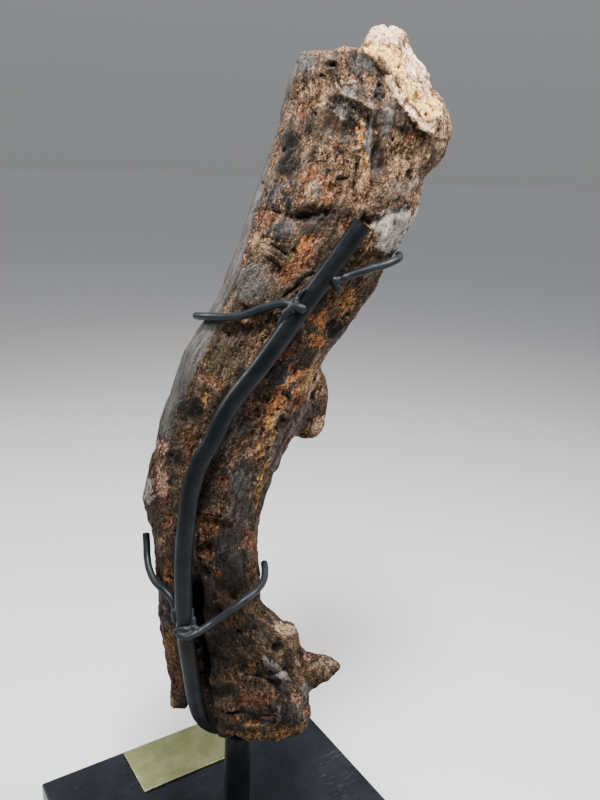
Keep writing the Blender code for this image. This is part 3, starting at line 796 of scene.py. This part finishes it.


# The tones of each kind of patch: dark, plain and light, which the mottle picks; its relief sway puts the
# dark tone in hollows as painted shade and the light tone on worn raised edges
SKIN_TONES = {
    "brown": ((0.011, 0.008, 0.006), (0.04, 0.026, 0.017), (0.11, 0.068, 0.042)),
    "slate": ((0.008, 0.007, 0.008), (0.029, 0.026, 0.027), (0.085, 0.071, 0.071)),
    "grey": ((0.018, 0.016, 0.015), (0.066, 0.06, 0.056), (0.175, 0.158, 0.147)),
    "lilac": ((0.018, 0.014, 0.013), (0.075, 0.057, 0.053), (0.22, 0.17, 0.155)),
    "moss": ((0.012, 0.009, 0.006), (0.058, 0.045, 0.026), (0.19, 0.152, 0.095)),
    "pale": ((0.058, 0.051, 0.046), (0.235, 0.21, 0.193), (0.46, 0.416, 0.385)),
}
ROUGH_TONES = {
    "tan": ((0.028, 0.017, 0.01), (0.195, 0.127, 0.078), (0.49, 0.36, 0.25)),
    "gold": ((0.04, 0.02, 0.009), (0.31, 0.168, 0.074), (0.64, 0.43, 0.23)),
    "rust": ((0.018, 0.009, 0.006), (0.142, 0.064, 0.036), (0.43, 0.23, 0.14)),
    "orange": ((0.034, 0.014, 0.007), (0.3, 0.128, 0.055), (0.66, 0.38, 0.21)),
    "pink": ((0.05, 0.026, 0.018), (0.32, 0.185, 0.135), (0.7, 0.5, 0.42)),
    "cream": ((0.14, 0.078, 0.04), (0.52, 0.365, 0.245), (0.84, 0.72, 0.61)),
    "straw": ((0.1, 0.05, 0.016), (0.47, 0.3, 0.115), (0.78, 0.6, 0.32)),
}
# Near-black tones, for dark matter and for painted shade
DARK_AND_SHADE_TONES = {"dark_and_shade": ((0.005, 0.004, 0.004), (0.014, 0.011, 0.009), (0.07, 0.048, 0.034))}
TONES = {**SKIN_TONES, **ROUGH_TONES, **DARK_AND_SHADE_TONES}
EDGE_TONES = ((0.1, 0.047, 0.025), (0.33, 0.195, 0.12), (0.66, 0.48, 0.36))
# How strongly each kind drifts over the hidden side
DRIFT_SHARE = dict.fromkeys(TONES, 0.8)
DRIFT_SHARE |= dict(cream=0.12, straw=0.12, pale=0.25, pink=0.3, gold=0.4, orange=0.45, tan=0.6)
PLAIN_SKIN = ((0.012, 0.009, 0.007), (0.052, 0.036, 0.026), (0.155, 0.108, 0.076))
PLAIN_ROUGH = ((0.015, 0.009, 0.006), (0.106, 0.064, 0.04), (0.35, 0.232, 0.15))
RIND_TONES = ((0.054, 0.05, 0.047), (0.13, 0.121, 0.114))
VEIN_TONE = (0.36, 0.28, 0.22)
# Painted shade for the deepest hollows
HOLLOW_SHADE_TONE = (0.008, 0.006, 0.005)
FOSSIL_SPECULAR = 0.25

# Where a mottle takes its dark, plain and light tone
TONE_STOPS = (0.12, 0.50, 0.92)
# How much grain, fine, streak, middle and relief each sway the mottle of the skin and of the rough matter;
# relief's sway paints shade into the hollows and lightens the worn raised edges
CALM_SWAY = (1.3, 0.5, 1.2, 0.6, 0.7)
WILD_SWAY = (1.4, 0.7, 1.0, 0.5, 0.6)
# Pale outlines of torn layers: level of the flake value, strength
OUTLINES = ((0.51, 0.55), (0.74, 0.4), (0.30, 0.35))
# The bone is paler towards its top, partly its own tone and partly painted light falling from above: rise
# from and to, brightness from and to
TONE_AND_LIGHT_LIFT = (0.20, 0.90, 0.43, 1.24)


def toned(g, mottle, tones):
    return g.ramp(mottle, list(zip(TONE_STOPS, tones)))


def fossil_material():
    g = Graph("fossil bone")
    spans = {"flow_x": FLOW_SPAN, "flow_y": FLOW_SPAN, "rise": RISE_SPAN}
    axes = [g.times(g.attribute(name), span) for name, span in spans.items()]
    flow = g.node("CombineXYZ", dict(enumerate(axes)), "Vector")
    wander = g.vector_math("SUBTRACT", g.noise(5.0, 2, 0.5, output="Color"), (0.5, 0.5, 0.5))
    bent = g.vector_math("ADD", flow, g.scaled(wander, 4.0))
    grain = g.noise(1.3, 4, 0.65, 0.0, bent)
    fine = g.noise(2.6, 5, 0.65, 0.0, bent)
    middle = g.noise(6.5, 5, 0.6, 0.0, g.vector_math("MULTIPLY", bent, (1, 1, 0.33)))
    streak = g.noise(2.0, 4, 0.6, 0.0, g.vector_math("MULTIPLY", bent, (1, 1, 0.10)))
    relief, flake = g.attribute("relief"), g.attribute("flake")

    # The relief term darkens hollows as painted shade, and lightens worn raised edges
    def mottle(sway):
        return g.total(0.5, *map(g.about, (grain, fine, streak, middle, relief), sway))

    def layered(mottle, plain, tones):
        colour = toned(g, mottle, plain)
        for kind in tones:
            mask = g.total(g.attribute(kind), g.about(fine, 0.9), g.about(middle, 0.9))
            colour = g.mix(g.step(mask, 0.22, 0.66), colour, toned(g, mottle, tones[kind]))
        return colour

    # Old smooth skin over rough matter, with pale outlines where it has torn, and near-black patches on
    # both, partly dark matter and partly painted shade
    speckle = g.total(g.times(g.step(g.noise(1.5, 3, 0.6, 0.0, bent), 0.39, 0.48), 0.4), 0.6)
    calm = g.times(mottle(CALM_SWAY), g.total(g.times(speckle, 0.5), 0.5))
    wild = g.times(mottle(WILD_SWAY), speckle)
    torn = g.step(g.total(flake, g.about(fine, 0.8), g.about(middle, 0.4)), 0.46, 0.56)
    skin, rough = layered(calm, PLAIN_SKIN, SKIN_TONES), layered(wild, PLAIN_ROUGH, ROUGH_TONES)
    colour = g.mix(torn, skin, rough)
    for level, weight in OUTLINES:
        ragged = g.total(flake, g.about(fine, 0.5), g.about(grain, 0.15), -level)
        outline = g.step(g.math("ABSOLUTE", ragged), 0.0, 0.035, weight, 0.0)
        colour = g.mix(g.times(outline, g.step(middle, 0.42, 0.55)), colour, toned(g, wild, EDGE_TONES))
    # Near-black patches: dark matter, and painted shade where shade falls
    dark_and_shade = g.total(g.attribute("dark_and_shade"), g.about(fine, 1.2), g.about(middle, 0.9))
    colour = g.mix(g.step(dark_and_shade, 0.35, 0.75, 0.0, 0.92), colour, DARK_AND_SHADE_TONES["dark_and_shade"][1])

    # The smooth rind
    rind = g.total(g.attribute("rind"), g.about(fine, 1.0), g.about(middle, 0.6))
    rind_tone = g.mix(g.step(streak, 0.35, 0.65), *RIND_TONES)
    colour = g.mix(g.step(rind, 0.35, 0.65, 0.0, 0.85), colour, rind_tone)

    # Pale hair-thin veins, and painted shade darkening the deepest hollows
    vein = g.step(g.cell_edges(7.5, bent), 0.0, 0.03, 0.35, 0.0)
    colour = g.mix(g.times(vein, g.step(middle, 0.44, 0.56)), colour, VEIN_TONE)
    colour = g.mix(g.step(relief, 0.06, 0.40, 0.9, 0.0), colour, HOLLOW_SHADE_TONE)
    # Paler towards the top: partly the bone's own tone, partly painted light from above
    colour = g.scaled(colour, g.step(g.attribute("rise"), *TONE_AND_LIGHT_LIFT))

    g.shader.inputs["Specular IOR Level"].default_value = FOSSIL_SPECULAR
    roughness = g.mix(torn, g.step(streak, 0.3, 0.7, 0.68, 0.5), g.step(fine, 0.3, 0.7, 0.92, 0.72))
    height = g.total(g.times(fine, 0.7), g.times(grain, 0.5), g.times(streak, 0.5))
    return g.finish(colour, roughness, g.bump(height, 0.6, g.step(torn, 0.0, 1.0, 0.4, 0.75)))


# ---------------- the stand

SPINE_RADIUS = 6
ARM_RADIUS = 2.5
POST_RADIUS = 10
POST_TOP = 89.7

# The post's profile as (radius, height): its foot, and from its top up the ring of weld metal
POST_FOOT = [(0, 0.3), (9.6, 0.3), (POST_RADIUS, 0.7)]
POST_RING = [(POST_RADIUS, -0.4), (9.8, 0.6), (9.2, 1.8), (8.2, 3.0)]
POST_RING += [(7.2, 3.7), (6.4, 4.0), (5.4, 4.0), (0, 3.8)]
POST_PARTS = 12

# Routes along the middle of each bar
SPINE_ROUTE = [
    (0, 0, 90.3), (0, 0, 93), (-3, -3, 97.5), (-9.5, -9.5, 103), (-18, -17.5, 111.8), (-24.8, -26, 127),
    (-27.6, -28, 138), (-31.2, -31, 167), (-33.8, -33, 192), (-35.5, -34, 224), (-35.4, -34, 254),
    (-33.2, -33, 283), (-31.8, -32, 297), (-29.2, -31, 309), (-24.5, -29.5, 322.5), (-17.5, -28, 336),
    (-9, -26, 355), (11.5, -23.2, 384.5), (33.5, -18.5, 418), (52, -14, 445.5), (69, -10.5, 471),
]
ARM_ROUTES = {
    "upper_left_arm": [
        (34.4, -26.3, 421.4), (32, -25.0, 421.9), (28.5, -21, 422.5), (24, -16.5, 422.2), (12, -13, 418.5),
        (-3.6, -10.6, 412), (-13.5, -7.2, 410.3), (-22.6, -0.6, 409), (-30.5, 9, 407), (-35.3, 20, 405),
    ],
    "upper_right_arm": [
        (53.4, -16, 437), (57, -13, 438), (63.2, -9.5, 440.2), (69.4, -6.5, 441.9), (75.7, -3, 443.6),
        (82.6, -0.4, 445.3), (90, 6, 447.5), (95.2, 16, 449), (96.6, 27, 450),
    ],
    "lower_left_arm": [
        (-41.5, -32, 213.4), (-43, -29.4, 218.9), (-49, -25, 224), (-57, -18.6, 227), (-62.6, -11.3, 232),
        (-65.6, -4.5, 238), (-67, 1, 244.6), (-68.4, 6, 251.3),
    ],
    "lower_right_arm": [
        (-38.2, -41, 202.5), (-32.6, -43, 201.8), (-26.8, -41.5, 203.4), (-22.1, -37, 204.4),
        (-16.6, -33, 206.6), (-3.6, -30, 215.8), (2.8, -27, 220), (8.5, -22, 222.5), (12.9, -15, 223.5),
        (16, -5.2, 224.4), (16.4, 4.2, 226.3), (15.2, 13, 228.1),
    ],
}

# Weld metal between each arm and the spine bar: centre, half sizes, turn about y in degrees
WELDS = {
    "upper_left_arm": [
        (34.2, -25.6, 421, 3.6, 3, 2.9, 0), (28.6, -22.6, 419.6, 3.2, 2.8, 3, 0),
        (25.8, -21, 416.5, 3.3, 3, 4.6, 28), (23, -20.2, 412, 2.5, 2.6, 6.2, 28),
        (30.4, -21.8, 424.5, 2.6, 2.4, 3.6, 38), (33, -20.6, 428.2, 1.7, 2.2, 5.6, 38),
    ],
    "upper_right_arm": [
        (53.8, -18, 437.5, 2.6, 2.6, 3, -35), (55, -17.5, 434, 2.4, 2.6, 4, -35),
        (59.4, -12.8, 438.8, 3.1, 3, 3, 0),
    ],
    "lower_left_arm": [(-41.4, -33.5, 212.5, 2.8, 3, 4.2, 0), (-41.2, -34.2, 209.4, 2.3, 2.6, 3.2, 4)],
    "lower_right_arm": [
        (-39.2, -38.5, 202.5, 2.8, 3, 3, 0), (-34, -39.9, 204.4, 5.6, 2.8, 3.6, 0),
        (-29.8, -38, 205.6, 3, 2.8, 3.4, 30), (-26.4, -39, 205.4, 2.9, 2.8, 2.8, 50),
        (-28.9, -36.6, 209, 2.2, 2.6, 4.4, 12), (-29.5, -35.6, 214, 1.2, 2, 5.6, 3),
    ],
}

ARM_VOXEL = 0.45
ARM_SWELL = 0.08  # what the arms' skin loses again as it is smoothed
WELD_ROUNDS = 10
BAR_SECTION_STEPS = 10
BAR_LENGTH_STEPS = 10
POST_SIDES = 72
SHARP_ANGLE = math.radians(40)


def lathe(name, profile, steps):
    """A round solid around the z axis from its profile of (radius, height) in millimetres."""
    bm = bmesh.new()
    verts = [bm.verts.new((radius * MM, 0, height * MM)) for radius, height in profile]
    edges = [bm.edges.new(pair) for pair in zip(verts, verts[1:])]
    bmesh.ops.spin(bm, geom=verts + edges, axis=(0, 0, 1), cent=(0, 0, 0), angle=2 * math.pi, steps=steps)
    bmesh.ops.remove_doubles(bm, verts=bm.verts, dist=0.01 * MM)
    bmesh.ops.recalc_face_normals(bm, faces=bm.faces)
    return mesh_of(bm, name)


def bar_mesh(route, radius):
    """A round bar that runs smoothly through the points of its route; no radius gives its middle line."""
    curve = bpy.data.curves.new("bar", "CURVE")
    curve.dimensions = "3D"
    curve.bevel_depth = radius * MM
    curve.bevel_resolution = BAR_SECTION_STEPS
    curve.resolution_u = BAR_LENGTH_STEPS
    curve.use_fill_caps = radius > 0
    spline = curve.splines.new("BEZIER")
    spline.bezier_points.add(len(route) - 1)
    for point, place in zip(spline.bezier_points, route):
        point.co = Vector(place) * MM
        point.handle_left_type = "AUTO"
        point.handle_right_type = "AUTO"
    return evaluated_mesh(new_object("bar", curve))


def middle_line(route):
    """The points along the middle of a bar, in millimetres."""
    return points_of(bar_mesh(route, 0)) / MM


def add_ball(bm, centre, half_sizes, turn):
    """Adds a ball of weld metal, turned about the y axis."""
    rotation = Matrix.Rotation(math.radians(turn), 3, "Y")
    ball = bmesh.ops.create_icosphere(bm, subdivisions=4, radius=1.0)
    for vert in ball["verts"]:
        local = Vector(half * part for half, part in zip(half_sizes, vert.co))
        vert.co = (Vector(centre) + rotation @ local) * MM


def place_part(name, mesh, finish):
    """Turns a mesh made in the display's frame to its place, and puts it for its CAD node."""
    mesh.transform(DISPLAY)
    smooth_and_paint(mesh, finish)
    mesh.set_sharp_from_angle(angle=SHARP_ANGLE)
    part = new_object(name + "_finished", mesh)
    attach(part, BODY)
    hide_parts(name)


def make_spine(paint):
    mesh = bar_mesh(SPINE_ROUTE, SPINE_RADIUS)
    rod = new_object("rod", mesh)
    edges = rod.modifiers.new("ends", "BEVEL")
    edges.width = 0.6 * MM
    edges.segments = 3
    edges.limit_method = "ANGLE"
    edges.angle_limit = math.radians(50)
    place_part("spine_rod", evaluated_mesh(rod), paint)


def make_arms(paint):
    for name, route in ARM_ROUTES.items():
        bm = bmesh.new()
        bm.from_mesh(bar_mesh(route, ARM_RADIUS + ARM_SWELL))
        for weld in WELDS[name]:
            add_ball(bm, weld[:3], weld[3:6], weld[6])
        place_part(name, new_skin(mesh_of(bm, name), ARM_VOXEL, WELD_ROUNDS), paint)


def make_post(paint):
    """The post with its chamfered top and the ring of weld metal around the spine bar's foot."""
    profile = list(POST_FOOT)
    profile += [(POST_RADIUS, 0.7 + (POST_TOP - 0.9) * part / POST_PARTS) for part in range(1, POST_PARTS)]
    profile += [(radius, POST_TOP + rise) for radius, rise in POST_RING]
    mesh = lathe("post", profile, POST_SIDES)
    points = points_of(mesh)
    ring = (points[:, 2] > (POST_TOP + 0.5) * MM) & (np.hypot(points[:, 0], points[:, 1]) > 5.7 * MM)
    swell = 1 + 0.05 * ring * fractal(points / MM, 3.0, 2, 0.5, 5)
    points[:, :2] *= swell[:, None]
    mesh.vertices.foreach_set("co", points.astype(np.float32).ravel())
    place_part("post", mesh, paint)


def make_slab(name, finish, bevel, segments):
    """A CAD board or sheet with rounder edges, in the place of its node."""
    low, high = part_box(name)
    middle = (low + high) / 2
    bm = bmesh.new()
    bmesh.ops.create_cube(bm, size=1.0)
    bmesh.ops.scale(bm, vec=high - low, verts=bm.verts)
    bmesh.ops.bevel(
        bm, geom=bm.verts[:] + bm.edges[:], offset=bevel * MM, segments=segments, profile=0.5, affect="EDGES"
    )
    bmesh.ops.translate(bm, vec=middle, verts=bm.verts)
    mesh = mesh_of(bm, name)
    mesh.transform(DISPLAY.inverted())
    place_part(name, mesh, finish)


PAINT_SPECULAR = 0.32
BAR_PAINT = ((0.006, 0.008, 0.01), (0.012, 0.015, 0.019))
# The arms' black paint is painted lighter than the bar's: painted light from above
LIT_ARM_PAINT = ((0.016, 0.02, 0.024), (0.03, 0.036, 0.042))
RUBBED_PAINT = (0.055, 0.06, 0.066)
BOARD_BLACK = ((0.013, 0.015, 0.02), (0.022, 0.025, 0.032))
BOARD_DUST, BOARD_HAZE, BOARD_WORN = (0.3, 0.31, 0.33), (0.075, 0.082, 0.095), (0.055, 0.048, 0.042)
BRASS = ((0.36, 0.375, 0.195), (0.47, 0.475, 0.275))
BRASS_SMUDGE, BRASS_LILAC = (0.15, 0.165, 0.085), (0.34, 0.33, 0.3)
BRASS_SCRATCH, BRASS_WORN = (0.62, 0.62, 0.46), (0.66, 0.65, 0.56)
BRASS_METALLIC = 0.75


def paint_material(name, tones):
    g = Graph(name)
    g.shader.inputs["Specular IOR Level"].default_value = PAINT_SPECULAR
    colour = g.mix(g.step(g.noise(14, 4, 0.6), 0.35, 0.7), *tones)
    colour = g.mix(g.step(g.noise(3.2, 5, 0.7), 0.62, 0.74, 0.0, 0.3), colour, RUBBED_PAINT)
    roughness = g.step(g.noise(5, 4, 0.6), 0.3, 0.7, 0.36, 0.50)
    peel = g.total(g.noise(1.2, 3, 0.5), g.noise(5.0, 2, 0.5))
    return g.finish(colour, roughness, g.bump(peel, 0.05, 0.6))


def worn_edges(g, name, width):
    """1 on the edges of a node's board, where two of its sides meet, broken up by noise."""
    low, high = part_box(name)
    near = []
    for axis, (half, middle) in enumerate(zip((high - low) / 2 / MM, (high + low) / 2 / MM)):
        place = g.node("SeparateXYZ", {0: g.place}, axis)
        away = g.math("SUBTRACT", half, g.math("ABSOLUTE", g.math("SUBTRACT", place, middle)))
        near.append(g.step(away, 0.0, width, 1.0, 0.0))
    pairs = [g.times(near[a], near[b]) for a, b in ((0, 1), (1, 2), (0, 2))]
    edge = g.math("MAXIMUM", g.math("MAXIMUM", pairs[0], pairs[1]), pairs[2])
    return g.times(edge, g.step(g.noise(6, 5, 0.7), 0.46, 0.62))


def slab_material():
    """Black board with specks of dust, wiped haze and worn edges."""
    g = Graph("satin black board")
    colour = g.mix(g.step(g.noise(45, 5, 0.6), 0.35, 0.7), *BOARD_BLACK)
    dust = g.times(g.step(g.noise(1.3, 2, 0.5), 0.70, 0.75), g.step(g.noise(20, 3, 0.6), 0.48, 0.60))
    colour = g.mix(g.times(dust, 0.45), colour, BOARD_DUST)
    wiped = g.step(g.noise(2.0, 4, 0.6, 1.5, g.stretched((9, 1.2, 1))), 0.50, 0.72)
    haze = g.times(wiped, g.step(g.noise(60, 3, 0.5), 0.45, 0.62))
    colour = g.mix(g.times(haze, 0.30), colour, BOARD_HAZE)
    colour = g.mix(g.times(worn_edges(g, "base", 2.2), 0.6), colour, BOARD_WORN)
    roughness = g.total(g.step(g.noise(30, 4, 0.6), 0.3, 0.7, 0.26, 0.36), g.times(haze, 0.22))
    return g.finish(colour, roughness, g.bump(g.noise(2.2, 3, 0.5), 0.04, 0.4))


def brass_material():
    """Pale brushed brass with smudges, scratches and worn edges."""
    g = Graph("pale brass")
    brushed = g.noise(1.0, 4, 0.6, 0.0, g.stretched((14, 0.35, 1)))
    cloud = g.noise(16, 4, 0.6)
    colour = g.mix(g.step(cloud, 0.35, 0.7), *BRASS)
    smudge = g.step(g.noise(5.0, 5, 0.6, 0.4, g.stretched((1.4, 1, 1))), 0.54, 0.68)
    smudge = g.times(smudge, g.step(cloud, 0.42, 0.56))
    colour = g.mix(g.times(smudge, 0.55), colour, BRASS_SMUDGE)
    colour = g.mix(g.step(g.noise(8.0, 3, 0.5), 0.60, 0.70, 0.0, 0.25), colour, BRASS_LILAC)
    scratch = g.step(g.noise(0.8, 2, 0.5, 0.0, g.stretched((40, 0.5, 1))), 0.66, 0.70)
    colour = g.mix(g.times(scratch, 0.35), colour, BRASS_SCRATCH)
    colour = g.mix(g.times(worn_edges(g, "name_plate", 0.9), 0.7), colour, BRASS_WORN)
    roughness = g.total(g.step(brushed, 0.3, 0.7, 0.32, 0.46), g.times(smudge, 0.2))
    return g.finish(colour, roughness, g.bump(brushed, 0.02, 0.5), BRASS_METALLIC)


def make_stand():
    paint = paint_material("satin black paint", BAR_PAINT)
    make_spine(paint)
    # The arms get the lighter copy of the black paint, as painted light
    make_arms(paint_material("black paint with painted light", LIT_ARM_PAINT))
    make_post(paint)
    make_slab("base", slab_material(), 1.4, 4)
    make_slab("name_plate", brass_material(), 0.35, 3)


# ---------------- studio

# Square soft boxes: place and aim in the display's frame in metres, size, power, colour
LIGHTS = {
    "key": ((0.05, -0.38, 1.35), (0.02, 0.0, 0.46), 0.25, 20, (1.0, 0.97, 0.93)),
    "left rim": ((-0.9, 0.35, 0.85), (0.02, 0.0, 0.36), 0.5, 7, (0.92, 0.96, 1.0)),
    "right top": ((0.7, 0.10, 1.2), (0.06, 0.0, 0.5), 0.4, 13, (1.0, 0.98, 0.95)),
}
FLOOR_HALF = 40  # in metres
FLOOR_COLOUR, FLOOR_ROUGHNESS = (0.73, 0.73, 0.74), 0.7
# The sky is brighter overhead, and at the horizon as bright as the far floor
SKY_STOPS = ((0, (0.545, 0.552, 0.562)), (1, (0.85, 0.87, 0.90)))
SKY_STRENGTH = 0.42


def add_light(name, place, aim, size, power, colour):
    data = bpy.data.lights.new(name, "AREA")
    data.size = size
    data.energy = power
    data.color = colour
    light = new_object(name, data)
    start, end = DISPLAY @ Vector(place), DISPLAY @ Vector(aim)
    turn = (end - start).to_track_quat("-Z", "Y").to_matrix()
    light.matrix_world = Matrix.Translation(start) @ turn.to_4x4()


def make_sky():
    g = Graph("studio", "worlds", "Background")
    height = g.node("SeparateXYZ", {0: g.node("TexCoord", {}, "Generated")}, "Z")
    g.link(g.ramp(height, SKY_STOPS), g.shader.inputs["Color"])
    g.link(SKY_STRENGTH, g.shader.inputs["Strength"])
    bpy.context.scene.world = g.owner


def make_studio():
    bm = bmesh.new()
    bmesh.ops.create_grid(bm, x_segments=1, y_segments=1, size=FLOOR_HALF)
    floor = new_object("floor", mesh_of(bm, "floor"))
    floor.data.materials.append(Graph("pale floor").finish(FLOOR_COLOUR, FLOOR_ROUGHNESS))
    make_sky()
    for name, light in LIGHTS.items():
        add_light(name, *light)
    bpy.context.scene.view_settings.look = "AgX - Medium High Contrast"


make_camera()
make_studio()
make_fossil()
make_stand()
